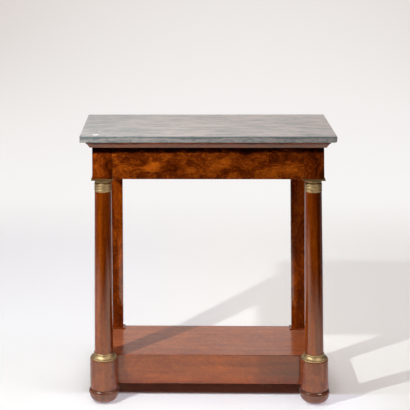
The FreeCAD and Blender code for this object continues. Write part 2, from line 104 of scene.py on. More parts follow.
def eased_block(low, high, ease, spacing):
    """A block with rounded arrises, as points, quads and no caps.

    Points of a cube-like grid p are clamped into a block smaller by the easing all round, giving
    q, and pushed out again: q + ease * (p - q) / |p - q|. Points that the six faces share are
    merged, so the surface is closed.
    """
    low, high = np.asarray(low, float), np.asarray(high, float)
    lines = [eased_grid(low[k], high[k], ease, spacing) for k in range(3)]
    points, quads, count = [], [], 0
    for k in range(3):
        a, b = (k + 1) % 3, (k + 2) % 3
        across, up = np.meshgrid(lines[a], lines[b], indexing="ij")
        for level in (low[k], high[k]):
            face = np.empty(across.shape + (3,))
            face[..., k], face[..., a], face[..., b] = level, across, up
            corners = grid_quads(*across.shape) + count
            quads.append(corners if level == low[k] else corners[:, ::-1])
            points.append(face.reshape(-1, 3))
            count += across.size
    points, quads = np.concatenate(points), np.concatenate(quads)
    _, first, same = np.unique(np.round(points, 7), axis=0, return_index=True, return_inverse=True)
    points, quads = points[first], same.reshape(-1)[quads]
    inner = np.clip(points, low + ease, high - ease)
    outward = points - inner
    outward /= np.linalg.norm(outward, axis=1)[:, None]
    return inner + ease * outward, quads, ()


def eased_outline(corners, ease, steps=4):
    """A closed outline with its corners rounded.

    Each corner C becomes a quadratic curve (1-t)^2 A + 2t(1-t) C + t^2 B, where A and B lie on
    its two sides at the easing's distance, or a third of the side if that is less.
    """
    corners = np.asarray(corners, float)
    to_last = np.roll(corners, 1, axis=0) - corners
    to_next = np.roll(corners, -1, axis=0) - corners
    sides = [np.linalg.norm(v, axis=1)[:, None] for v in (to_last, to_next)]
    start = corners + to_last / sides[0] * np.minimum(ease, sides[0] / 3)
    end = corners + to_next / sides[1] * np.minimum(ease, sides[1] / 3)
    t = np.linspace(0, 1, steps + 1)[None, :, None]
    curve = (1 - t) ** 2 * start[:, None] + 2 * t * (1 - t) * corners[:, None] + t ** 2 * end[:, None]
    return curve.reshape(-1, 2)


def swept(outline, along, aside, start, end, origin=(0.0, 0.0, 0.0), mitre=(0.0, 0.0)):
    """A section carried in a straight line, as points, quads and caps.

    The outline's points are (out, up), and the surface is origin + run * along + out * aside
    + up * UP. The run goes from start to end, each moved by its mitre's slope times the out
    distance, which cuts that end at an angle.
    """
    out, up = np.asarray(outline, float).T
    run = np.stack([start + mitre[0] * out, end + mitre[1] * out])
    points = origin + run[..., None] * along + out[:, None] * aside + up[:, None] * UP
    quads, caps = grid_quads(2, len(out), round_columns=True), end_caps(2, len(out))
    area = np.sum(out * np.roll(up, -1) - np.roll(out, -1) * up)
    if np.dot(np.cross(aside, UP), along) * area * (end - start) < 0:
        quads, caps = quads[:, ::-1], [cap[::-1] for cap in caps]
    return points.reshape(-1, 3), quads, caps


def circle(segments):
    """Points of the unit circle: (cos a, sin a) at even angles."""
    angle = np.arange(segments) * 2 * np.pi / segments
    return np.stack([np.cos(angle), np.sin(angle)], -1)


def turned(profile, centre, plan, ring=False):
    """A profile of (radius, height) points spun round an upright axis, as points, quads and caps.

    The point at step i of the profile and step j of the plan is centre + radius[i] * plan[j],
    height[i]. The two end rings are capped, or joined to each other for a ring.
    """
    radius, height = np.asarray(profile, float).T
    flat = radius[:, None, None] * plan + centre
    level = np.broadcast_to(height[:, None, None], flat.shape[:2] + (1,))
    points = np.concatenate([flat, level], -1).reshape(-1, 3)
    caps = () if ring else end_caps(len(radius), len(plan))
    return points, grid_quads(len(radius), len(plan), ring, True), caps


def through(first, middle, last, steps=12):
    """Points of the round arc through three (radius, height) points.

    The centre lies at equal distances from all three, which two linear equations give. The
    angle is swept evenly from the first point, by way of the middle one, to the last.
    """
    first, middle, last = (np.asarray(p, float) for p in (first, middle, last))
    sides = np.stack([middle - first, last - first]) * 2
    centre = np.linalg.solve(sides, [middle @ middle - first @ first, last @ last - first @ first])
    angle = [math.atan2(*(p - centre)[::-1]) for p in (first, middle, last)]
    half = (angle[1] - angle[0] + math.pi) % (2 * math.pi) - math.pi
    rest = (angle[2] - angle[1] + math.pi) % (2 * math.pi) - math.pi
    a = angle[0] + (half + rest) * np.linspace(0, 1, steps + 1)
    return centre + np.linalg.norm(first - centre) * np.stack([np.cos(a), np.sin(a)], -1)


def swelling(widest, level, width, rise, steps=10):
    """Points of an arc that starts upright at its widest radius and curves inwards.

    With R = (width^2 + rise^2) / (2 width), the point at angle t is widest - R (1 - cos t),
    level + R sin t, until it has moved in by the width and up, or down, by the rise.
    """
    size = (width ** 2 + rise ** 2) / (2 * width)
    t = math.asin(rise / size) * np.linspace(0, 1, steps + 1)
    return np.stack([widest - size * (1 - np.cos(t)), level + size * np.sin(t)], -1)


def waves(points, seed, scale):
    """A smooth pseudo-random height from -1 to 1: the mean of five sine waves in set directions.

    The directions, lengths and phases come from the fractions of 43758.5453 sin(n (12.9898 + seed)).
    """
    numbers = np.sin(np.arange(1, 26) * (12.9898 + seed)) * 43758.5453
    numbers = (numbers - np.floor(numbers)).reshape(5, 5)
    direction = numbers[:, :3] * 2 - 1
    phase = numbers[:, 3] * 2 * np.pi
    rate = scale * (0.6 + 1.2 * numbers[:, 4])
    return np.sin(points @ (direction * rate[:, None]).T + phase).mean(1)


# ---------------------------------------------------------------- pieces

def mesh_object(name, points, quads, caps=(), grain=ALONG_X, shift=(0.0, 0.0, 0.0), relief=None):
    """Make a mesh object from arrays.

    The grain attribute is the point's place with the grain's axis put first, plus a shift that
    gives each piece its own part of the veneer. The relief attribute of a brass piece says how
    far a point stands out of the hollows, up to 1.
    """
    faces = np.asarray(quads).tolist() + [np.asarray(cap).tolist() for cap in caps]
    mesh = bpy.data.meshes.new(name)
    mesh.from_pydata(points.tolist(), [], faces)
    mesh.polygons.foreach_set("use_smooth", np.ones(len(mesh.polygons), bool))
    mesh.set_sharp_from_angle(angle=SHARP_ANGLE)
    along = points[:, list(grain)] + shift
    attribute = mesh.attributes.new("grain", "FLOAT_VECTOR", "POINT")
    attribute.data.foreach_set("vector", along.astype(np.float32).ravel())
    if relief is not None:
        attribute = mesh.attributes.new("relief", "FLOAT", "POINT")
        attribute.data.foreach_set("value", relief.astype(np.float32))
    mesh.validate()
    mesh.update()
    thing = bpy.data.objects.new(name, mesh)
    bpy.context.scene.collection.objects.link(thing)
    return thing


def fit(name, surface, finish, slot, node, body="carcase", **values):
    """Make a piece of a surface, with its finish and body, in the place of a solid; its record slot is not
    used.
    """
    thing = mesh_object(name, *surface, **values)
    thing.data.materials.append(finish_for(finish))
    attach(thing, body)
    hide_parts(node)


def fit_block(node, finish, ease, grain, shift, front=None, bottom=None, top=None):
    """Fit an eased block with a solid's own corners, apart from the places that are given."""
    low, high = (np.array(corner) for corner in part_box(node))
    low[1] = low[1] if front is None else front
    low[2] = low[2] if bottom is None else bottom
    high[2] = high[2] if top is None else top
    surface = eased_block(low, high, ease, BLOCK_SPACING)
    fit(node + "_skin", surface, finish, MAHOGANY, node, grain=grain, shift=shift)


def axis_of(side):
    """Plan position of a column's axis, in the middle of its solid."""
    low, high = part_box("column_" + side)
    return np.array([(low.x + high.x) / 2, (low.y + high.y) / 2])


# ---------------------------------------------------------------- node trees

class Value:
    """An output of a node, which sums, differences and products can be written with."""

    def __init__(self, tree, socket):
        self.tree, self.socket = tree, socket

    def __add__(self, other):
        return self.tree.math("ADD", self, other)

    def __sub__(self, other):
        return self.tree.math("SUBTRACT", self, other)

    def __rsub__(self, other):
        return self.tree.math("SUBTRACT", other, self)

    def __mul__(self, other):
        return self.tree.math("MULTIPLY", self, other)

    def __abs__(self):
        return self.tree.math("ABSOLUTE", self)


class Tree:
    """The nodes of a material or a world, which starts empty."""

    def __init__(self, owner):
        owner.use_nodes = True
        self.nodes = owner.node_tree.nodes
        self.links = owner.node_tree.links
        self.nodes.clear()

    def node(self, kind, inputs, **settings):
        """Make a node, and fill its inputs with constants or link them to values."""
        node = self.nodes.new("ShaderNode" + kind)
        for key, value in settings.items():
            setattr(node, key, value)
        for key, value in inputs.items():
            if isinstance(value, Value):
                self.links.new(value.socket, node.inputs[key])
            else:
                node.inputs[key].default_value = value
        return node

    def value(self, kind, inputs, output=0, **settings):
        """Make a node and give one of its outputs."""
        return Value(self, self.node(kind, inputs, **settings).outputs[output])

    def math(self, operation, *values, clamp=False):
        """A sum or the like of values or constants, clamped to 0 and 1 if asked."""
        return self.value("Math", dict(enumerate(values)), operation=operation, use_clamp=clamp)

    def vector(self, operation, *vectors, output="Vector"):
        return self.value("VectorMath", dict(enumerate(vectors)), output, operation=operation)

    def larger(self, first, second):
        return self.math("MAXIMUM", first, second)

    def place(self):
        """The point's place on the object, which is its place in the frame."""
        return self.value("TexCoord", {}, "Object")

    def split(self, vector):
        return [Value(self, output) for output in self.node("SeparateXYZ", {0: vector}).outputs]

    def rays(self, *names):
        """For each named kind of ray, 1 where the point is seen by it."""
        path = self.node("LightPath", {})
        return [Value(self, path.outputs["Is " + name + " Ray"]) for name in names]

    def noise(self, vector, scale, detail=3.0, roughness=0.55, distortion=0.0, output="Fac"):
        """A soft noise from 0 to 1, whose features are about 1 / scale long on each axis."""
        return self.value("TexNoise", {
            "Vector": self.vector("MULTIPLY", vector, scale), "Scale": 1.0, "Detail": detail,
            "Roughness": roughness, "Distortion": distortion}, output)

    def bent(self, vector, scale, amount, detail=2.0):
        """The vector pushed about by a soft noise, by up to about half the amount."""
        push = self.noise(vector, scale, detail, output="Color")
        push = self.vector("SUBTRACT", push, (0.5, 0.5, 0.5))
        return self.vector("MULTIPLY_ADD", push, amount, vector)

    def ramp(self, value, *stops):
        """Greys or colours between stops of (value, grey or colour)."""
        node = self.node("ValToRGB", {"Fac": value})
        elements = node.color_ramp.elements
        while len(elements) < len(stops):
            elements.new(0.5)
        for element, (position, colour) in zip(elements, stops):
            element.position = position
            element.color = (*((colour,) * 3 if np.isscalar(colour) else colour), 1)
        return Value(self, node.outputs["Color"])

    def fade(self, value, start, end, low=0.0, top=1.0, kind="SMOOTHSTEP"):
        """From low at the start to top at the end, and level outside them."""
        return self.value("MapRange", {
            "Value": value, "From Min": start, "From Max": end, "To Min": low, "To Max": top},
            interpolation_type=kind)

    def threads(self, noise, strength, width):
        """Thin winding lines where a noise crosses its middle value."""
        return self.ramp(abs(noise - 0.5), (0.0, strength), (width, 0.0))

    def oval(self, vector, centre, reach, slope=0.0):
        """1 in the middle of a soft oval and 0 outside it: 1 - (a / reach)^2 - (b / reach)^2.

        The oval lies along the vector's first axis and up its third, and climbs by the slope.
        """
        away = self.vector("SUBTRACT", vector, centre)
        along, up = (self.vector("DOT_PRODUCT", away, row, output="Value") for row in (
            (1 / reach[0], 0.0, 0.0), (-slope / reach[1], 0.0, 1 / reach[1])))
        return self.math("SUBTRACT", 1.0, along * along + up * up, clamp=True)

    def mix(self, factor, first, second, blend="MIX"):
        """The first colour where the factor is 0, and the second where it is 1."""
        first, second = (c if isinstance(c, Value) else (*c, 1) for c in (first, second))
        return self.value("Mix", {0: factor, 6: first, 7: second}, 2, data_type="RGBA", blend_type=blend)

    def bump(self, height, distance, strength):
        """The normal of a surface that stands out by the distance where the height is 1."""
        return self.value("Bump", {"Height": height, "Distance": distance, "Strength": strength})

    def emission(self, colour, strength):
        return self.value("Emission", {"Color": colour, "Strength": strength})

    def principled(self, **inputs):
        return self.value("BsdfPrincipled", {key.replace("_", " "): value for key, value in inputs.items()})

    def mixed(self, factor, first, second):
        """The first shader where the factor is 0, and the second where it is 1."""
        return self.value("MixShader", {0: factor, 1: first, 2: second})

    def surface(self, shader):
        self.node("OutputMaterial", {"Surface": shader})


def shade(colour, factor):
    """A colour made lighter or darker by one factor, or by one for each of its channels."""
    return tuple(np.multiply(tuple(colour), factor))


# ---------------------------------------------------------------- finishes

# The grey that dust pales the wood with, which on the shelf, the plinths and the feet also stands for a
# painted sheen
DUST_AND_SHEEN = (0.50, 0.47, 0.44)

# What the paper and its glow turn to past their ends: the unlit studio
UNLIT = (0.02, 0.02, 0.02)


def mahogany(tree, looks, flame, bands, stripe, tint=(1.0, 1.0, 1.0), haze=0.0, polish=1.0, dust_and_sheen=0.0,
             patches=()):
    """French polished mahogany veneer.

    Three patterns lighten and darken it, each by its own strength: a flame of large plumes with
    arcs, curls and wisps, soft bands along the grain, and a fine stripe. Patches are soft ovals
    of (centre, reach, slope, strength), light or dark, and some of them are painted light and
    painted shade. Pores darken it in short dashes. A clear polish lies over it: haze makes it less
    sharp, and a grey share pales the wood under it, which is dust and, on the shelf, the plinths
    and the feet, also a painted sheen.
    """
    dark, middle, light = (shade(c, tint) for c in (looks.wood_dark, looks.wood_middle, looks.wood_light))

    # The flame, as a value round 0
    grain = tree.value("Attribute", {}, "Vector", attribute_name="grain")
    bent = tree.bent(grain, (3.0, 9.0, 9.0), (0.10, 0.035, 0.035), 3.0)
    swirl = tree.bent(grain, (16.0, 22.0, 22.0), (0.05, 0.05, 0.05))
    plumes = tree.noise(swirl, (13.0, 22.0, 22.0), 2.0, 0.5, 0.6)
    curls = tree.noise(swirl, (42.0, 85.0, 85.0), 4.0, 0.62, 1.6)
    arcs = tree.math("SINE", plumes * 44.0) * (curls * 0.15)
    wisps = tree.threads(tree.noise(swirl, (13.0, 34.0, 34.0), 2.0, 0.5, 1.6), 0.20, 0.022)
    figure = plumes * 0.72 + curls * 0.50 - 0.62 + arcs + wisps

    # The whole pattern, and the colours from its dark to its light places
    calm = tree.noise(bent, (2.2, 42.0, 42.0), 3.0, 0.5, 0.3)
    lines = tree.noise(bent, (9.0, 420.0, 420.0), 3.0, 0.6)
    pattern = figure * flame + (calm - 0.5) * bands + (lines - 0.5) * stripe + 0.605
    for centre, reach, slope, strength in patches:
        pattern = pattern + tree.oval(swirl, centre, reach, slope) * strength
    colour = tree.ramp(pattern, (0.28, shade(dark, 0.5)), (0.40, dark), (0.58, middle), (0.72, light),
                       (0.90, shade(light, (1.75, 1.9, 1.5))))

    # Pores, age, and dust with a painted sheen on some pieces
    pores = tree.ramp(tree.noise(bent, (90.0, 1500.0, 1500.0), 2.0), (0.30, 0.0), (0.42, 1.0))
    colour = tree.mix(1.0 - pores, colour, shade(dark, 0.35))
    age = tree.noise(grain, (6.0, 6.0, 6.0))
    colour = tree.mix(age * 0.35, colour, shade(middle, 0.8))
    colour = tree.mix(age * (2.0 * dust_and_sheen), colour, DUST_AND_SHEEN)
    ripple = pores * 0.25 + tree.noise(grain, (14.0, 22.0, 22.0), 1.0)
    tree.surface(tree.principled(
        Base_Color=colour, Roughness=tree.noise(grain, (25.0, 60.0, 60.0)) * 0.25 + 0.38, IOR=1.45,
        Specular_IOR_Level=0.0, Coat_Weight=polish, Coat_Roughness=looks.polish_roughness + haze,
        Coat_IOR=1.5, Normal=tree.bump(ripple, 0.0002, 0.35)))


# Chips on the slab's top near its front left corner: centre, reach, strength
MARBLE_CHIPS = (((-0.3600, -0.1630, 0.87), (0.0125, 0.0115, 0.02), 1.0),
                ((-0.3510, -0.1120, 0.87), (0.0055, 0.0080, 0.02), 0.5))
CHIPPED_MARBLE = (0.92, 0.91, 0.89)

# The dark band along the upper part of the slab's front edge: its colour, how far below the top
# it starts and is at its full strength, and that strength
EDGE_BAND, BAND_START, BAND_FULL, BAND_STRENGTH = (0.140, 0.190, 0.208), 0.00836, 0.00582, 0.78


def marble(tree, looks):
    """Polished grey marble.

    Fine rosy streaks and pale threads run along the slab, with blue-grey patches between them.
    The front edge is blotched, and its upper part is darker.
    """
    low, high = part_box("marble_top")
    grey, rosy = tuple(looks.marble), tuple(looks.marble_veil)
    even = shade(np.add(grey, rosy), 0.5)
    place = tree.place()
    bent = tree.bent(place, (6.0, 14.0, 30.0), (0.10, 0.035, 0.02), 4.0)
    cloud = tree.noise(bent, (9.0, 42.0, 60.0), 6.0, 0.68, 0.8)
    cloud = cloud - tree.oval(bent, (-0.42, 0.0, 0.86), (0.30, 0.6)) * 0.09
    streak = tree.noise(bent, (16.0, 90.0, 120.0), 5.0, 0.65, 0.8)
    speck = tree.noise(place, (260.0, 260.0, 260.0), 4.0, 0.7)
    colour = tree.ramp(cloud, (0.40, shade(grey, 0.88)), (0.47, even), (0.53, rosy),
                       (0.61, shade(rosy, 1.22)))
    colour = tree.mix(tree.ramp(streak, (0.46, 0.0), (0.60, 0.8)), colour, shade(rosy, 1.18))
    colour = tree.mix(tree.ramp(streak, (0.34, 0.7), (0.46, 0.0)), colour, grey)
    threads = tree.threads(tree.noise(bent, (16.0, 60.0, 90.0), 3.0, 0.5, 2.0), 0.45, 0.018)
    colour = tree.mix(threads, colour, shade(rosy, 1.2))
    edge = tree.fade(tree.split(place)[1], low.y + 0.002, low.y - 0.0005, kind="LINEAR")
    blotch = tree.ramp(tree.noise(place, (60.0, 60.0, 140.0), 4.0, 0.6),
                       (0.36, shade(grey, 0.7)), (0.46, even), (0.56, shade(rosy, 1.1)))
    colour = tree.mix(edge * 0.8, colour, blotch)
    band = tree.fade(tree.split(bent)[2], high.z - BAND_START, high.z - BAND_FULL, 0.0, BAND_STRENGTH,
                     "LINEAR")
    colour = tree.mix(band * edge, colour, EDGE_BAND)
    colour = tree.mix(0.16, colour, tree.ramp(speck, (0.3, 0.02), (0.7, 0.55)), "OVERLAY")
    ragged = tree.bent(place, (90.0, 90.0, 90.0), (0.008, 0.008, 0.0))
    for centre, reach, strength in MARBLE_CHIPS:
        away = tree.vector("DIVIDE", tree.vector("SUBTRACT", ragged, centre), reach)
        away = tree.vector("LENGTH", away, output="Value")
        colour = tree.mix(tree.ramp(away, (0.55, strength), (1.0, 0.0)), colour, CHIPPED_MARBLE)
    tree.surface(tree.principled(
        Base_Color=colour, Roughness=tree.noise(place, (18.0, 18.0, 18.0), 4.0) * 0.22 + 0.24, IOR=1.5,
        Specular_IOR_Level=0.2, Normal=tree.bump(speck, 0.00008, 0.5)))


def gilt_brass(tree, looks):
    """Old gilt brass: worn bright on the crests, brown in the hollows, with fine turning lines."""
    place = tree.place()
    relief = tree.value("Attribute", {}, "Fac", attribute_name="relief")
    patch = tree.noise(place, (70.0, 70.0, 110.0), 4.0, 0.6)
    wear = tree.math("ADD", patch * 0.7, relief * 0.75 - 0.35, clamp=True)
    bright = tuple(looks.brass)
    colour = tree.ramp(wear, (0.05, shade(bright, (0.30, 0.26, 0.20))), (0.40, shade(bright, 0.75)),
                       (0.85, bright))
    lines = tree.noise(place, (30.0, 30.0, 1800.0), 2.0)
    tree.surface(tree.principled(
        Base_Color=colour, Metallic=1.0, Roughness=tree.ramp(wear, (0.1, 0.64), (0.8, 0.50)),
        Normal=tree.bump(lines, 0.00006, 0.4)))


def softwood(tree, looks, axis):
    """Plain planed softwood with growth lines along one axis, a little darkened by age."""
    wood = tuple(looks.softwood)
    scale = [2.0 if k == axis else 70.0 for k in range(3)]
    place = tree.place()
    bent = tree.bent(place, (6.0, 6.0, 6.0), (0.02, 0.02, 0.02))
    lines = tree.noise(bent, scale, 3.0, 0.6, 0.5)
    fibre = tree.noise(bent, shade(scale, 9.0))
    colour = tree.ramp(lines, (0.35, wood), (0.55, shade(wood, 0.72)), (0.66, shade(wood, 0.5)))
    stain = tree.noise(place, (14.0, 14.0, 14.0), 4.0)
    colour = tree.mix(stain * 0.45, colour, shade(wood, 0.42))
    tree.surface(tree.principled(
        Base_Color=colour, Roughness=fibre * 0.25 + 0.55, Specular_IOR_Level=0.3,
        Normal=tree.bump(fibre, 0.0003, 0.5)))


def dull_steel(tree, looks):
    """Old screws and nails: dark steel with rusty patches."""
    rust = tree.noise(tree.place(), (400.0, 400.0, 400.0), 4.0)
    tree.surface(tree.principled(
        Base_Color=tree.ramp(rust, (0.4, (0.20, 0.19, 0.18)), (0.6, (0.11, 0.055, 0.03))),
        Metallic=0.8, Roughness=tree.ramp(rust, (0.4, 0.4), (0.6, 0.8))))


# How high the backdrop's glow takes to fade, and its colours at shares of that height
GLOW_HEIGHT = 3.4
GLOW_STOPS = ((0.0, (0.930, 0.915, 0.900)), (0.10, (0.900, 0.875, 0.862)),
              (0.28, (0.835, 0.795, 0.772)), (1.0, (0.70, 0.66, 0.635)))
GLOW_ASIDE = (0.66, 0.60, 0.575)

# Colours of the floor's bloom: on the whole, and before the table and at the left
BLOOM_WARM, BLOOM_COOL = (1.0, 0.96, 0.955), (0.95, 0.965, 1.12)

# Colours of the floor in front: in the polish, and for the camera, with its brightness there
FRONT_MIRRORED, FRONT_SEEN, FRONT_BRIGHTNESS = (1.0, 0.89, 0.72), (1.0, 0.985, 0.98), 0.88


def studio_paper(tree, looks):
    """Pale studio paper: matt, slightly mottled, and dark where the studio's own floor begins.

    Behind the table it glows softly for the camera and in reflections, as a lit backdrop does.
    In front of it, reflections show the brightly lit floor, which fades towards the dark studio.
    """
    fade = tree.fade
    place = tree.place()
    across, deep, high = tree.split(place)
    aside = abs(across)
    camera, glossy, through_glass = tree.rays("Camera", "Glossy", "Transmission")
    seen = tree.math("ADD", camera + glossy, through_glass, clamp=True)

    # The paper itself
    mottle = tree.noise(place, (1.2, 1.2, 1.2))
    paper = tree.mix(mottle * 0.10, tuple(looks.paper), shade(looks.paper, 0.94))
    sides = fade(across, -2.1, -1.3) * fade(across, 2.3, 1.5) * tree.larger(
        fade(across, 1.5, 0.7), 1.0 - glossy)
    reach = fade(deep, looks.paper_front - 0.35, looks.paper_front) * sides
    paper = tree.mix(tree.larger(reach, camera), UNLIT, paper)
    matt = tree.principled(Base_Color=paper, Roughness=0.9, Specular_IOR_Level=0.1)

    # Bloom on the floor round the table, and a strip before it that lights its front. Under the table the
    # bloom is left out, and the edge of that mask is a painted shadow edge: it sets where the dark floor
    # under the rail ends.
    before = fade(aside, 0.75, 0.40) * fade(deep, -0.05, -0.075)
    painted_shadow_under = fade(aside, 0.46, 0.36) * fade(deep, -0.075, -0.05) * fade(deep, 0.42, 0.22)
    behind = fade(deep, 0.2, 0.6) * fade(deep, 2.7, 1.9) * fade(across, 0.1, 0.9, 1.0, 0.3)
    bloom = fade(across, -1.0, 1.2, *looks.floor_bloom) + before * fade(across, -0.9, 0.0, 0.0, 0.19)
    bloom = (bloom + behind * 0.10) * tree.math("SUBTRACT", seen, painted_shadow_under, clamp=True)
    strip = before * fade(deep, -0.38, -0.32) * (
        tree.math("SUBTRACT", 1.0, seen, clamp=True) * looks.strip_glow)
    cool = tree.larger(before, fade(across, 0.25, -0.5))
    lit = tree.value("AddShader", {
        0: matt, 1: tree.emission(tree.mix(cool, BLOOM_WARM, BLOOM_COOL), bloom + strip)})

    # The lit backdrop
    glow = tree.ramp(tree.math("DIVIDE", high, GLOW_HEIGHT), *GLOW_STOPS)
    edge = across * 0.6 - 0.21
    glow = tree.mix(edge * edge * fade(high, -0.2, 1.0, 0.0, 0.62), glow, GLOW_ASIDE)
    glow = tree.mix(tree.larger(camera, sides), UNLIT, glow)
    backdrop = tree.emission(glow, looks.backdrop_glow)
    behind_table = tree.mixed(seen * fade(deep, 1.3, 2.5), lit, backdrop)

    # The floor in front
    near = fade(deep, -1.6, -0.55, 0.0, looks.floor_glow) * sides * (1.0 - camera)
    floor = tree.emission(tree.mix(camera, FRONT_MIRRORED, FRONT_SEEN), camera * FRONT_BRIGHTNESS + near)
    front = tree.math("ADD", camera * fade(deep, -0.22, -0.55), glossy * fade(deep, -0.14, -0.26),
                      clamp=True)
    tree.surface(tree.mixed(front, behind_table, floor))


# A patch is its centre, reach along and up, slope and strength, in a piece's grain coordinates.
# With this reach it runs right through the piece.
THROUGH = 9.0

# A painted shadow of the slab and cornice: a dark band under the cornice, on the drawer front and on the
# corner blocks
PAINTED_SHADOW_BAND = ((THROUGH, 0.027), 0.010, -0.45)
UPRIGHT_PAINTED_SHADOW_BAND = ((0.027, THROUGH), 0.0, -0.45)

# Light and dark places in the drawer front's flame, with a broad painted light at the left and painted
# shade at the right, and its painted shadow band under the cornice
FRONT_PATCHES = (
    ((-0.182, 0.0, 0.766), (0.030, 0.028), 0.0, 0.34),
    ((-0.111, 0.0, 0.755), (0.034, 0.040), 0.0, -0.09),
    ((-0.042, 0.0, 0.746), (0.050, 0.022), 0.2, 0.13),
    ((0.044, 0.0, 0.768), (0.055, 0.022), 0.7, 0.17),
    ((0.104, 0.0, 0.752), (0.040, 0.024), 0.0, -0.08),
    ((0.213, 0.0, 0.748), (0.065, 0.018), 0.0, 0.10),
    ((0.273, 0.0, 0.778), (0.026, 0.034), 0.0, 0.12),
    ((-0.233, 0.0, 0.802), (0.075, 0.024), 0.0, -0.12),
    # A broad painted light at the left of the drawer front, and a broad painted shade at its right
    ((-0.200, 0.0, 0.780), (0.130, 0.060), 0.0, 0.03),
    ((0.140, 0.0, 0.790), (0.230, 0.070), 0.0, -0.05),
    # The painted shadow band under the cornice
    ((0.0, 0.0, 0.8355), *PAINTED_SHADOW_BAND),
)

# A corner block's grain coordinates are height and width, moved along by a shift. For the right
# block it is more by the step.
BLOCK_SHIFT, BLOCK_STEP = (0.0, 0.2, 0.4), 0.31
BLOCK_PATCHES = (
    # Painted shadow bands under the cornice, on the left and the right block
    ((0.8326, 0.0, 0.0), *UPRIGHT_PAINTED_SHADOW_BAND),
    ((0.8384 + BLOCK_STEP, 0.0, 0.0), *UPRIGHT_PAINTED_SHADOW_BAND),
    ((0.0, 0.0, BLOCK_SHIFT[2] - 0.315), (THROUGH, 0.024), 0.0, -0.14),
    ((0.0, 0.0, BLOCK_SHIFT[2] - 0.352), (THROUGH, 0.012), 0.0, 0.06),
    ((0.0, 0.0, BLOCK_SHIFT[2] + 0.345), (THROUGH, 0.050), 0.0, -0.09),
)

# A darker line along the top of the cornice: painted shade under the slab's edge
CORNICE_SHIFT = (0.3, 0.1, 0.7)
CORNICE_PAINTED_SHADE = (((0.0, 0.0, CORNICE_SHIFT[2] + 0.852), (THROUGH, 0.010), 0.0, -0.18),)

# The right column, whose grain coordinates are moved along by the step, is darker near its top: painted
# shade
COLUMN_STEP = 0.7
COLUMN_PAINTED_SHADE = (((COLUMN_STEP + 0.70, 0.0, 0.0), (0.17, THROUGH), 0.0, -0.06),)

# The front rail of the base is darker towards its right end: painted shade
RAIL_SHIFT = (0.2, 0.4, 0.1)
RAIL_PAINTED_SHADE = (((RAIL_SHIFT[0] + 0.250, 0.0, 0.0), (0.105, THROUGH), 0.0, -0.10),)

FINISHES = {
    "flame veneer": (mahogany, dict(flame=0.75, bands=0.10, stripe=0.16, patches=BLOCK_PATCHES)),
    "drawer front veneer": (mahogany, dict(
        flame=0.75, bands=0.10, stripe=0.18, tint=(0.88, 0.90, 0.95), patches=FRONT_PATCHES)),
    "column veneer": (mahogany, dict(
        flame=0.10, bands=0.40, stripe=0.06, tint=(1.08, 1.12, 0.7), patches=COLUMN_PAINTED_SHADE)),
    "pilaster veneer": (mahogany, dict(flame=0.45, bands=0.45, stripe=0.10, tint=(0.98, 0.98, 0.7))),
    "plain veneer": (mahogany, dict(
        flame=0.20, bands=0.30, stripe=0.08, tint=(1.18, 1.22, 1.1), haze=0.03, dust_and_sheen=0.02)),
    "front rail veneer": (mahogany, dict(
        flame=0.16, bands=0.30, stripe=0.08, tint=(1.22, 1.26, 1.1), haze=0.03, dust_and_sheen=0.02,
        patches=RAIL_PAINTED_SHADE)),
    "plinth veneer": (mahogany, dict(
        flame=0.22, bands=0.12, stripe=0.06, tint=(1.04, 1.15, 1.1), haze=0.05, dust_and_sheen=0.03)),
    "cornice veneer": (mahogany, dict(
        flame=0.12, bands=0.30, stripe=0.08, tint=(1.70, 1.5, 1.2), haze=0.05, polish=0.9, dust_and_sheen=0.012,
        patches=CORNICE_PAINTED_SHADE)),
    "shelf veneer": (mahogany, dict(
        flame=0.16, bands=0.13, stripe=0.07, tint=(1.85, 2.25, 2.2), haze=0.15, dust_and_sheen=0.11)),
    "dark feet": (mahogany, dict(flame=0.15, bands=0.20, stripe=0.06, tint=(0.68, 0.80, 1.0), dust_and_sheen=0.08)),
    "polished marble": (marble, {}),
    "old gilt brass": (gilt_brass, {}),
    "softwood across": (softwood, dict(axis=0)),
    "softwood deep": (softwood, dict(axis=1)),
    "softwood upright": (softwood, dict(axis=2)),
    "old steel": (dull_steel, {}),
    "studio paper": (studio_paper, {}),
}


def finish_for(name):
    """The material of a name, made the first time that it's asked for."""
    made = bpy.data.materials.get(name)
    if made is None:
        made = bpy.data.materials.new(name)
        maker, values = FINISHES[name]
        maker(Tree(made), bpy.context.scene.pier_table, **values)
    return made


# ---------------------------------------------------------------- user values

def length(title, text, default, **limits):
    return FloatProperty(name=title, description=text, default=default, unit="LENGTH",
                         subtype="DISTANCE", precision=5, **{"min": 0.0, **limits})


def share(title, text, default):
    return FloatProperty(name=title, description=text, default=default, min=0.0, max=1.0, subtype="FACTOR")


def power(title, text, default):
    return FloatProperty(name=title, description=text, default=default, min=0.0, unit="POWER")


def brightness(title, text, default):
    return FloatProperty(name=title, description=text, default=default, min=0.0)


def colour(title, text, default):
    return FloatVectorProperty(name=title, description=text, default=default, size=3,
                               min=0.0, max=1.0, subtype="COLOR")


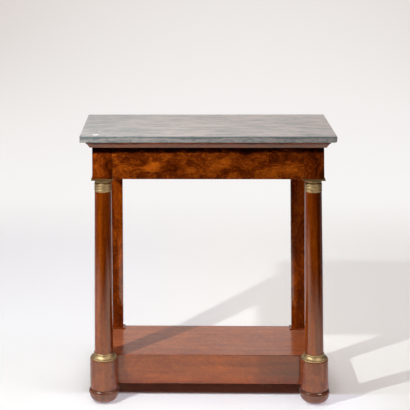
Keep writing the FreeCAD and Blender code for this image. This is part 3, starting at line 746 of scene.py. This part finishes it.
class PIER_PG_looks(PropertyGroup):
    """Sizes, colours and light that a user would change."""

    marble_ease: length("Marble arris", "Rounding of the slab's arrises", 0.0012)
    wood_ease: length("Wood arris", "Rounding of the veneered arrises", 0.0008)
    brass_ease: length("Brass arris", "Rounding of the abacus plates' arrises", 0.0008)
    cornice_quirk: length("Cornice quirk", "Step of the cornice at its bottom edge", 0.0075)
    cornice_fillet: length("Cornice fillet", "Flat top edge of the cornice", 0.005)
    cornice_hollow: length("Cornice hollow", "Depth of the hollow between them", 0.0009)
    chip_depth: length("Chips", "Depth of the chips along the slab's arrises", 0.0016)
    finger_groove: length("Finger groove", "Radius of the groove under the drawer front", 0.008)
    column_taper: share("Taper", "Radius of a column at its top, as a share of that at its foot", 0.9013)
    column_neck: length("Column neck", "Radius of a column inside its capital", 0.024)
    entasis: length("Entasis", "Swelling of the columns at their middle", 0.0004)
    marble: colour("Marble", "Ground of the marble", (0.33, 0.350, 0.355))
    marble_veil: colour("Marble veils", "Pale veils in the marble", (0.51, 0.455, 0.443))
    wood_dark: colour("Dark mahogany", "Dark figure of the veneer", (0.055, 0.0080, 0.0011))
    wood_middle: colour("Middle mahogany", "Ground of the veneer", (0.220, 0.0325, 0.0026))
    wood_light: colour("Light mahogany", "Light flame of the veneer", (0.50, 0.092, 0.0062))
    softwood: colour("Softwood", "Inner boards", (0.52, 0.30, 0.135))
    brass: colour("Brass", "Bright gilt of the mounts", (0.57, 0.415, 0.225))
    paper: colour("Paper", "Floor and backdrop", (0.90, 0.885, 0.875))
    polish_roughness: share("Polish", "Roughness of the polish on the veneer", 0.07)
    key_power: power("Key lamp", "The small lamp at the front left", 30.0)
    fill_power: power("Overhead lamp", "The wide lamp overhead", 170.0)
    side_power: power("Side lamp", "The soft lamp at the front right", 15.0)
    box_power: power("Soft box", "The soft box at the left that only the polish mirrors", 18.0)
    reflector_power: power("Reflector", "The card at the right that only the polish mirrors", 10.8)
    room_light: brightness("Room", "Strength of the even light from all round", 0.012)
    room_mirrored: brightness("Room in the polish", "The dark studio as the polish mirrors it", 0.02)
    room_seen: brightness("Room past the paper", "The studio past the paper as the camera sees it", 0.82)
    backdrop_glow: brightness("Backdrop", "Brightness of the backdrop as the camera sees it", 1.0)
    floor_bloom: FloatVectorProperty(
        name="Floor bloom", description="Extra brightness of the floor at the left and at the right",
        default=(0.185, 0.235), size=2, min=0.0)
    strip_glow: brightness("Floor strip", "Extra light that the floor before the table sends up", 0.75)
    floor_glow: brightness("Front floor", "The floor in front as the polish mirrors it", 2.05)
    paper_front: length("Paper front", "How far forward the bright paper reaches", -0.55, min=-10.0)


# ---------------------------------------------------------------- operators

# The slab's chips lie where two sets of waves together rise above this level
CHIP_LEVEL = 0.42

# The chip out of the slab's lower front corner at the right: its reach and its depth
CORNER_CHIP, CORNER_CHIP_DEPTH = (0.006, 0.008, 0.007), 0.004


class PIER_OT_slab(Operator):
    """Make the marble slab with worn, slightly chipped arrises"""

    bl_idname = "pier.slab"
    bl_label = "Marble slab"

    def execute(self, context):
        looks = context.scene.pier_table
        low, high = (np.array(corner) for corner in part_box("marble_top"))
        ease = looks.marble_ease
        points, quads, caps = eased_block(low, high, ease, SLAB_SPACING)
        outward = (points - np.clip(points, low + ease, high - ease)) / ease
        arris = (np.abs(outward) > 0.05).sum(1) > 1
        pits = np.clip(waves(points, 3.1, 160.0) + 0.5 * waves(points, 7.7, 420.0) - CHIP_LEVEL, 0, 1)
        away = np.linalg.norm((points - (high[0], low[1], low[2])) / CORNER_CHIP, axis=1)
        depth = looks.chip_depth * pits * arris + CORNER_CHIP_DEPTH * np.clip(1 - away, 0, 1)
        surface = points - outward * depth[:, None], quads, caps
        fit("marble_slab", surface, "polished marble", MARBLE, "marble_top")
        return {"FINISHED"}


class PIER_OT_cornice(Operator):
    """Make the three mitred members of the cornice"""

    bl_idname = "pier.cornice"
    bl_label = "Cornice"

    def execute(self, context):
        looks = context.scene.pier_table
        low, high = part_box("cornice_front")
        block_low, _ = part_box("corner_block_left")
        front, half = block_low.y, -block_low.x
        reach, bearing = front - low.y, high.y - front
        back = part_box("cornice_side_left")[1].y
        foot = np.array([looks.cornice_quirk, low.z])
        lip = np.array([reach, high.z - looks.cornice_fillet])
        slope = (lip - foot) / np.linalg.norm(lip - foot)
        middle = (foot + lip) / 2 + looks.cornice_hollow * np.array([-slope[1], slope[0]])
        outline = np.concatenate([
            [[-bearing, low.z]], through(foot, middle, lip, 16), [[reach, high.z], [-bearing, high.z]]])
        members = (
            ("cornice_front", RIGHT, FRONT, -half, half, (0, front, 0), (-1.0, 1.0), ALONG_X),
            ("cornice_side_right", BACK, RIGHT, front, back, (half, 0, 0), (-1.0, 0.0), ALONG_Y),
            ("cornice_side_left", BACK, LEFT, front, back, (-half, 0, 0), (-1.0, 0.0), ALONG_Y))
        for node, along, aside, start, end, origin, mitre, grain in members:
            surface = swept(outline, along, aside, start, end, origin, mitre)
            fit(node + "_moulding", surface, "cornice veneer", MAHOGANY, node,
                grain=grain, shift=CORNICE_SHIFT)
        return {"FINISHED"}


class PIER_OT_frieze(Operator):
    """Make the veneered corner blocks and sides of the frieze"""

    bl_idname = "pier.frieze"
    bl_label = "Frieze"

    def execute(self, context):
        ease = context.scene.pier_table.wood_ease
        for number, side in enumerate(SIDES):
            block = "corner_block_" + side
            fit_block(block, "flame veneer", ease, UP_AND_ACROSS, (number * BLOCK_STEP, *BLOCK_SHIFT[1:]))
            fit_block("frieze_side_" + side, "plain veneer", ease, ALONG_Y, (0.5 * number, 0.9, 0.1),
                      front=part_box(block)[1].y)
        return {"FINISHED"}


# Room at each end of the drawer front's veneer
END_ROOM = 0.00005


class PIER_OT_drawer_front(Operator):
    """Make the flame-veneered drawer front with the finger groove under it"""

    bl_idname = "pier.drawer_front"
    bl_label = "Drawer front"

    def execute(self, context):
        looks = context.scene.pier_table
        low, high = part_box("drawer_front")
        front, back = -low.y, -high.y
        t = np.linspace(0, np.pi / 2, 9)
        groove = looks.finger_groove * np.stack([np.sin(t), np.cos(t)], -1) + [back, low.z]
        corners = [[front, low.z], [front, high.z], [back, high.z], [back, low.z]]
        eased = eased_outline(corners, looks.wood_ease)
        outline = np.concatenate([eased[:3 * len(eased) // 4], groove])
        surface = swept(outline, RIGHT, FRONT, low.x + END_ROOM, high.x - END_ROOM)
        fit("drawer_front_skin", surface, "drawer front veneer", MAHOGANY, "drawer_front", "drawer")
        return {"FINISHED"}


class PIER_OT_columns(Operator):
    """Make the turned columns: a straight taper with a sine-shaped swelling, and a neck in the capital"""

    bl_idname = "pier.columns"
    bl_label = "Columns"

    def execute(self, context):
        looks = context.scene.pier_table
        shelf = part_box("shelf_board")[1].z
        s = np.linspace(0, 1, 41)
        for number, side in enumerate(SIDES):
            low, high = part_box("column_" + side)
            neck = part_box("capital_" + side)[0].z
            foot = (high.x - low.x) / 2
            top = foot * looks.column_taper
            radius = foot + (top - foot) * s + looks.entasis * np.sin(np.pi * s)
            shaft = np.stack([radius, shelf + (neck - shelf) * s], -1)
            inside = [[looks.column_neck, neck], [looks.column_neck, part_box("abacus_" + side)[0].z]]
            surface = turned(np.concatenate([shaft, inside]), axis_of(side), circle(128))
            fit("column_shaft_" + side, surface, "column veneer", MAHOGANY, "column_" + side,
                grain=ALONG_Z, shift=(number * COLUMN_STEP, 1.3, 0.2))
        return {"FINISHED"}


# The capital: three beads with valleys between them, a hollow above, and a flat fillet with an
# eased lower edge. Depths are from the crest of the beads.
BEADS, BEAD_PITCH, VALLEY_DEPTH = 3, 0.0093, 0.0011
HOLLOW_HEIGHT, HOLLOW_DEPTH, FILLET_EASE = 0.0050, 0.0024, 0.0011

# The ring at a column's foot: a bead, a wide hollow up to the waist, and a small lip
RING_BEAD_DEPTH, RING_BEAD_HEIGHT, RING_HOLLOW_DEPTH = 0.0016, 0.0050, 0.0016
RING_WAIST_DEPTH, RING_LIP_DEPTH, RING_LIP_HEIGHT = 0.0114, 0.0104, 0.0036

# How thick the metal is in the ring's waist, and the capital's room round the column's neck
RING_THICKNESS, NECK_ROOM = 0.0011, 0.0001

# The relief of the abacus plates, which are duller all over than a hollow
ABACUS_RELIEF = -0.3


class PIER_OT_mounts(Operator):
    """Make the brass capitals, abacus plates and base rings"""

    bl_idname = "pier.mounts"
    bl_label = "Brass mounts"

    def ring(self, name, node, side, profile, bore, hollows, wear_and_shade):
        """A turned ring: the outer profile goes up, and the plain bore comes back down.

        The hollows are (radius, height, reach), where the reach is how far from a hollow's depth
        the gilding is still browned. The relief at a point of the profile is the least of
        distance / reach over the hollows, at most 1, times a share for wear and painted shade: 1 for
        the base rings, and less for the capitals, whose gilding it browns as painted shade. In the
        bore it is 0.
        """
        profile = np.concatenate(profile)
        gaps = [np.hypot(*(profile - (r, z)).T) / reach for r, z, reach in hollows]
        relief = wear_and_shade * np.clip(np.min(gaps, 0), 0, 1)
        profile = np.concatenate([profile, [[bore, profile[-1, 1]], [bore, profile[0, 1]]]])
        plan = circle(96)
        relief = np.repeat(np.concatenate([relief, [0, 0]]), len(plan))
        fit(name + side, turned(profile, axis_of(side), plan, ring=True), "old gilt brass", BRASS,
            node + side, relief=relief)

    def capital(self, side, neck):
        low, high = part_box("capital_" + side)
        crest = (high.x - low.x) / 2
        valley, hollow = crest - VALLEY_DEPTH, crest - HOLLOW_DEPTH
        starts = low.z + BEAD_PITCH * np.arange(BEADS)
        top = starts[-1] + BEAD_PITCH
        middle, fillet = top + HOLLOW_HEIGHT / 2, top + HOLLOW_HEIGHT
        profile = [through((valley, z), (crest, z + BEAD_PITCH / 2), (valley, z + BEAD_PITCH))
                   for z in starts]
        profile += [through((valley, top), (hollow, middle), (valley, fillet)),
                    swelling(crest, fillet + FILLET_EASE, FILLET_EASE, -FILLET_EASE, 4)[::-1],
                    [[crest, high.z]]]
        hollows = [(valley, z, 0.0016) for z in starts]
        hollows += [(valley, top, 0.002), (hollow, middle, 0.0045), (crest, high.z, 0.0012)]
        # The capitals' relief is halved, which browns their gilding as painted shade
        self.ring("capital_mount_", "capital_", side, profile, neck + NECK_ROOM, hollows, 0.5)

    def foot_ring(self, side):
        low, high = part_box("base_ring_" + side)
        foot = (high.x - low.x) / 2
        step, bead_top = foot - RING_BEAD_DEPTH, low.z + RING_BEAD_HEIGHT
        waist, lip, lip_bottom = foot - RING_WAIST_DEPTH, foot - RING_LIP_DEPTH, high.z - RING_LIP_HEIGHT
        hollow = np.array([step + waist, bead_top + lip_bottom]) / 2 - RING_HOLLOW_DEPTH
        profile = [through((step, low.z), (foot, (low.z + bead_top) / 2), (step, bead_top)),
                   through((step, bead_top), hollow, (waist, lip_bottom), 20),
                   through((waist, lip_bottom), (lip, (lip_bottom + high.z) / 2), (waist, high.z))]
        hollows = [(step, bead_top, 0.0022), (waist, lip_bottom, 0.002), (foot, low.z, 0.0016)]
        self.ring("foot_mount_", "base_ring_", side, profile, waist - RING_THICKNESS, hollows, 1.0)

    def execute(self, context):
        looks = context.scene.pier_table
        for side in SIDES:
            self.capital(side, looks.column_neck)
            self.foot_ring(side)
            surface = eased_block(*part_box("abacus_" + side), looks.brass_ease, 0.006)
            fit("abacus_mount_" + side, surface, "old gilt brass", BRASS, "abacus_" + side,
                relief=np.full(len(surface[0]), ABACUS_RELIEF))
        return {"FINISHED"}


# Roundings of the shelf, of the rails' ends beside it, of the pilasters' plates and the back feet
SHELF_EASE, RAIL_END_EASE, PLATE_EASE, BACK_FOOT_EASE = 0.0003, 0.0002, 0.0006, 0.002


class PIER_OT_base(Operator):
    """Make the round plinth blocks, the rails of the base box and its shelf"""

    bl_idname = "pier.base"
    bl_label = "Base box"

    def plinth(self, number, side, ease):
        """A round block with eased rims, and a square notch where the front rail meets it.

        The plan is the unit circle from the notch's back edge round to its front edge, and then
        the notch's corner. It is mirrored for the left side.
        """
        low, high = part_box("plinth_block_" + side)
        rail_low, rail_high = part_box("base_front_rail")
        centre = axis_of(side)
        size = (high.x - low.x) / 2
        notch_x = (rail_high.x - abs(centre[0])) / size
        notch_y = (rail_low.y - centre[1]) / size
        angle = np.linspace(np.pi - np.arcsin(notch_y), 2 * np.pi + np.arccos(notch_x), 120)
        plan = np.stack([np.cos(angle), np.sin(angle)], -1)
        plan = np.concatenate([plan, [[notch_x, notch_y]]])
        if side == "left":
            plan = plan[::-1] * np.array([-1, 1])
        t = np.linspace(0, np.pi / 2, 5)
        rim = ease * np.stack([np.sin(t) - 1, 1 - np.cos(t)], -1)
        profile = np.concatenate([(size, low.z) + rim, (size, high.z) + rim[::-1] * (1, -1)])
        fit("plinth_" + side, turned(profile, centre, plan), "plinth veneer", MAHOGANY,
            "plinth_block_" + side, grain=ALONG_Z, shift=(0.4, 0.9 * number, 0.6))

    def execute(self, context):
        ease = context.scene.pier_table.wood_ease
        for number, side in enumerate(SIDES):
            self.plinth(number, side, ease)

        low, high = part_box("base_front_rail")
        shelf_low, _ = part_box("shelf_board")
        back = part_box("base_back_rail")[1].y
        lip, thick = shelf_low.y - low.y, high.y - low.y
        half, deck = high.x, shelf_low.z
        section = eased_outline([[0, low.z], [0, high.z], [-lip, high.z], [-lip, deck], [-thick, deck],
                                 [-thick, low.z]], ease)
        long_rails = (("base_front_rail", FRONT, low.y, "front rail veneer", RAIL_SHIFT),
                      ("base_back_rail", BACK, back, "plain veneer", (0.5, 1.0, 0.1)))
        for node, aside, face, finish, shift in long_rails:
            points, quads, caps = swept(section, RIGHT, aside, -half, half, (0, face, 0))
            # The rail's ends beside the shelf are filled up to the top
            inner, outer = sorted((face - aside[1] * thick, face - aside[1] * lip))
            for x in (-half, half - lip):
                more, faces, _ = eased_block((x, inner, deck), (x + lip, outer, high.z), RAIL_END_EASE,
                                             BLOCK_SPACING / 2)
                quads = np.concatenate([quads, faces + len(points)])
                points = np.concatenate([points, more])
            fit(node + "_skin", (points, quads, caps), finish, MAHOGANY, node, grain=ALONG_X, shift=shift)
        for side, aside, shift in (("right", RIGHT, (0.7, 1.4, 0.1)), ("left", LEFT, (0.9, 1.8, 0.1))):
            node = "base_side_rail_" + side
            surface = swept(section, BACK, aside, high.y, back - thick, half * aside)
            fit(node + "_skin", surface, "plain veneer", MAHOGANY, node, grain=ALONG_Y, shift=shift)
        fit_block("shelf_board", "shelf veneer", SHELF_EASE, ALONG_X, (0.9, 0.35, 0.8))
        return {"FINISHED"}


# A front foot: the bead round its rim is widest this far below the plinth, and draws in by these
# widths and heights above and below. A fillet joins it to the plinth.
BEAD_DROP = 0.0135
SHOULDER_WIDTH, SHOULDER_RISE, TUCK_WIDTH, TUCK_DROP = 0.0048, 0.0105, 0.0017, 0.0035
FILLET_IN, FILLET_HEIGHT = 0.0063, 0.0030

# The bowl under the bead: its round's radius, and the radius of the flat pad that it stands on
BOWL, PAD, PAD_EASE = 0.027, 0.0215, 0.0006


class PIER_OT_feet(Operator):
    """Make the turned front feet and the square back feet"""

    bl_idname = "pier.feet"
    bl_label = "Feet"

    def execute(self, context):
        for number, side in enumerate(SIDES):
            low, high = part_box("front_foot_" + side)
            rim = (high.x - low.x) / 2
            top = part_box("plinth_block_" + side)[0].z
            shoulder = swelling(rim, top - BEAD_DROP, SHOULDER_WIDTH, SHOULDER_RISE)
            tuck = swelling(rim, top - BEAD_DROP, TUCK_WIDTH, -TUCK_DROP, 6)[::-1]
            centre = tuck[0] - [BOWL, 0.0]
            a = np.linspace(-math.acos((PAD - centre[0]) / BOWL), 0, 32)[:-1]
            bowl = centre + BOWL * np.stack([np.cos(a), np.sin(a)], -1)
            profile = np.concatenate([
                [[PAD - PAD_EASE, 0.0]], bowl, tuck[:-1], shoulder,
                [[rim - FILLET_IN, top - FILLET_HEIGHT], [rim - FILLET_IN, top]]])
            fit("turned_foot_" + side, turned(profile, axis_of(side), circle(128)), "dark feet", FEET,
                "front_foot_" + side, grain=ALONG_Z, shift=(0.2 * number, 0.4, 0.8))
            surface = eased_block(*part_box("back_foot_" + side), BACK_FOOT_EASE, BLOCK_SPACING / 2)
            fit("square_foot_" + side, surface, "dark feet", FEET, "back_foot_" + side,
                grain=ALONG_Z, shift=(0.6, 0.3, 0.1))
        return {"FINISHED"}


class PIER_OT_pilasters(Operator):
    """Make the flat back pilasters and their plinth plates"""

    bl_idname = "pier.pilasters"
    bl_label = "Pilasters"

    def execute(self, context):
        ease = context.scene.pier_table.wood_ease
        for number, side in enumerate(SIDES):
            fit_block("pilaster_" + side, "pilaster veneer", ease, ALONG_Z, (0.45 * number, 0.15, 0.55),
                      bottom=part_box("pilaster_foot_" + side)[1].z, top=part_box("frieze_back")[0].z)
            fit_block("pilaster_foot_" + side, "plain veneer", PLATE_EASE, ALONG_X,
                      (0.2, 0.2 * number, 0.1))
        return {"FINISHED"}


# Solids that are shown as they are, by their finish
INNER_NODES = {
    "softwood across": ("frieze_back", "top_front_rail", "lower_front_rail", "drawer_stops",
                        "drawer_back", "drawer_bottom", "cornice_back"),
    "softwood deep": ("drawer_runner_left", "drawer_runner_right", "drawer_guide_left",
                      "drawer_guide_right", "drawer_kicker_left", "drawer_kicker_right",
                      "drawer_side_left", "drawer_side_right", "plinth_dowels"),
    "softwood upright": ("glue_blocks", "back_foot_dowels"),
    "old steel": ("cornice_screws", "drawer_nails"),
}


class PIER_OT_inner(Operator):
    """Finish the inner boards, blocks, dowels, screws and nails"""

    bl_idname = "pier.inner"
    bl_label = "Inner parts"

    def execute(self, context):
        for finish, nodes in INNER_NODES.items():
            for node in nodes:
                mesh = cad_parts[node].data
                mesh.materials.clear()
                mesh.materials.append(finish_for(finish))
        return {"FINISHED"}


# The paper: how far it reaches forward, to the bend and up, its bend's radius, and its two sides
PAPER_START, PAPER_BEND, PAPER_TOP, BEND_RADIUS, PAPER_SIDES = -8.0, 2.6, 5.0, 1.4, (-5.0, 6.0)

# Place, aim, shape, size and colour of the lamps
KEY_LAMP = (-1.22, -1.06, 1.79), (0.0, -0.05, 0.55), "DISK", 0.06, (0.95, 1.0, 0.97)
OVERHEAD_LAMP = (0.2, 2.2, 5.0), (0.2, 2.2, 0.0), "SQUARE", 6.0, (1.0, 0.96, 0.94)
SIDE_LAMP = (1.7, -1.5, 2.8), (0.0, 0.0, 0.4), "SQUARE", 1.2, (1.0, 0.93, 0.86)
SOFT_BOX = (-1.5, -1.1, 1.7), (0.0, -0.1, 0.1), "SQUARE", 0.8, (1.0, 0.96, 0.92)
REFLECTOR = (1.55, -1.15, 1.6), (0.0, -0.1, 0.1), "SQUARE", 0.6, (1.0, 0.94, 0.88)
ROOM_COLOUR = (1.0, 0.98, 0.97, 1)

# The camera: its picture's width and focal length in pixels, and the pixel where its level axis
# meets the picture's plane. The picture is shifted from there.
PICTURE_WIDTH, FOCAL_LENGTH, AXIS_COLUMN, AXIS_ROW = 410.0, 1200.0, 150.2, -107.4
SENSOR_WIDTH = 36.0
CAMERA_PLACE, CAMERA_TURN, CAMERA_ROLL = (-0.0725, -4.0108, 1.647), 0.028, -0.0057


class PIER_OT_stage(Operator):
    """Make the floor, backdrop, lamps, room light and camera"""

    bl_idname = "pier.stage"
    bl_label = "Stage"

    def paper(self):
        """A floor that bends up into a backdrop along a quarter circle."""
        floor = np.linspace(PAPER_START, PAPER_BEND, 60)
        a = np.linspace(0, np.pi / 2, 24)[1:]
        y = np.concatenate([floor, PAPER_BEND + BEND_RADIUS * np.sin(a), [PAPER_BEND + BEND_RADIUS]])
        z = np.concatenate([0 * floor, BEND_RADIUS * (1 - np.cos(a)), [PAPER_TOP]])
        x = np.linspace(*PAPER_SIDES, 24)
        points = np.stack(np.broadcast_arrays(x[None, :], y[:, None], z[:, None]), -1).reshape(-1, 3)
        sheet = mesh_object("studio_sweep", points, grid_quads(len(y), len(x)))
        sheet.data.materials.append(finish_for("studio paper"))
        return sheet

    def lamp(self, name, power, place, aim, shape, size, tint):
        """An area lamp at its place, turned about the upright axis and tilted until it faces its aim."""
        data = bpy.data.lights.new(name, "AREA")
        data.shape, data.size, data.energy, data.color = shape, size, power, tint
        thing = bpy.data.objects.new(name, data)
        bpy.context.scene.collection.objects.link(thing)
        away = np.subtract(aim, place)
        thing.location = place
        thing.rotation_euler = (math.acos(-away[2] / np.linalg.norm(away)), 0.0,
                                math.atan2(away[1], away[0]) - math.pi / 2)
        return thing

    def room(self, looks):
        """Even light from all round, dark in the polish, and pale for the camera past the paper."""
        world = bpy.data.worlds.new("room")
        tree = Tree(world)
        glossy, camera = tree.rays("Glossy", "Camera")
        light, mirrored, seen = (
            tree.value("Background", {"Color": ROOM_COLOUR, "Strength": strength})
            for strength in (looks.room_light, looks.room_mirrored, looks.room_seen))
        shown = tree.mixed(camera, tree.mixed(glossy, light, mirrored), seen)
        tree.node("OutputWorld", {"Surface": shown})
        return world

    def camera(self):
        """A level camera, turned and rolled a little, whose picture is shifted to its place."""
        data = bpy.data.cameras.new("camera")
        data.sensor_fit = "HORIZONTAL"
        data.sensor_width = SENSOR_WIDTH
        data.lens = SENSOR_WIDTH * FOCAL_LENGTH / PICTURE_WIDTH
        data.shift_x = (PICTURE_WIDTH / 2 - AXIS_COLUMN) / PICTURE_WIDTH
        data.shift_y = (AXIS_ROW - PICTURE_WIDTH / 2) / PICTURE_WIDTH
        data.clip_end = 60.0
        camera = bpy.data.objects.new("camera", data)
        bpy.context.scene.collection.objects.link(camera)
        level = Matrix.Rotation(CAMERA_TURN, 4, "Z") @ Matrix.Rotation(math.pi / 2, 4, "X")
        camera.rotation_euler = (level @ Matrix.Rotation(CAMERA_ROLL, 4, "Z")).to_euler()
        camera.location = CAMERA_PLACE
        return camera

    def execute(self, context):
        scene, looks = context.scene, context.scene.pier_table
        self.paper()
        key = self.lamp("key lamp", looks.key_power, *KEY_LAMP)
        fill = self.lamp("overhead lamp", looks.fill_power, *OVERHEAD_LAMP)
        side = self.lamp("side lamp", looks.side_power, *SIDE_LAMP)
        box = self.lamp("soft box", looks.box_power, *SOFT_BOX)
        card = self.lamp("reflector", looks.reflector_power, *REFLECTOR)
        for lamp in (box, card):
            lamp.visible_diffuse = False
        scene.world = self.room(looks)
        scene.view_settings.view_transform = "Standard"
        scene.camera = self.camera()
        return {"FINISHED"}


# ---------------------------------------------------------------- add-on

OPERATORS = (
    PIER_OT_slab, PIER_OT_cornice, PIER_OT_frieze, PIER_OT_drawer_front, PIER_OT_columns,
    PIER_OT_mounts, PIER_OT_base, PIER_OT_feet, PIER_OT_pilasters, PIER_OT_inner, PIER_OT_stage)


class PIER_PT_panel(Panel):
    """Lists the pier table's values and its operators"""

    bl_idname = "PIER_PT_panel"
    bl_label = "Pier Table"
    bl_space_type = "VIEW_3D"
    bl_region_type = "UI"
    bl_category = "Pier Table"

    def draw(self, context):
        for name in PIER_PG_looks.__annotations__:
            self.layout.prop(context.scene.pier_table, name)
        for operator in OPERATORS:
            self.layout.operator(operator.bl_idname)


CLASSES = (PIER_PG_looks,) + OPERATORS + (PIER_PT_panel,)


def register():
    for kind in CLASSES:
        bpy.utils.register_class(kind)
    bpy.types.Scene.pier_table = PointerProperty(type=PIER_PG_looks)


def unregister():
    del bpy.types.Scene.pier_table
    for kind in reversed(CLASSES):
        bpy.utils.unregister_class(kind)


def main():
    register()
    for operator in OPERATORS:
        group, name = operator.bl_idname.split(".")
        getattr(getattr(bpy.ops, group), name)()


if __name__ == "__main__":
    main()
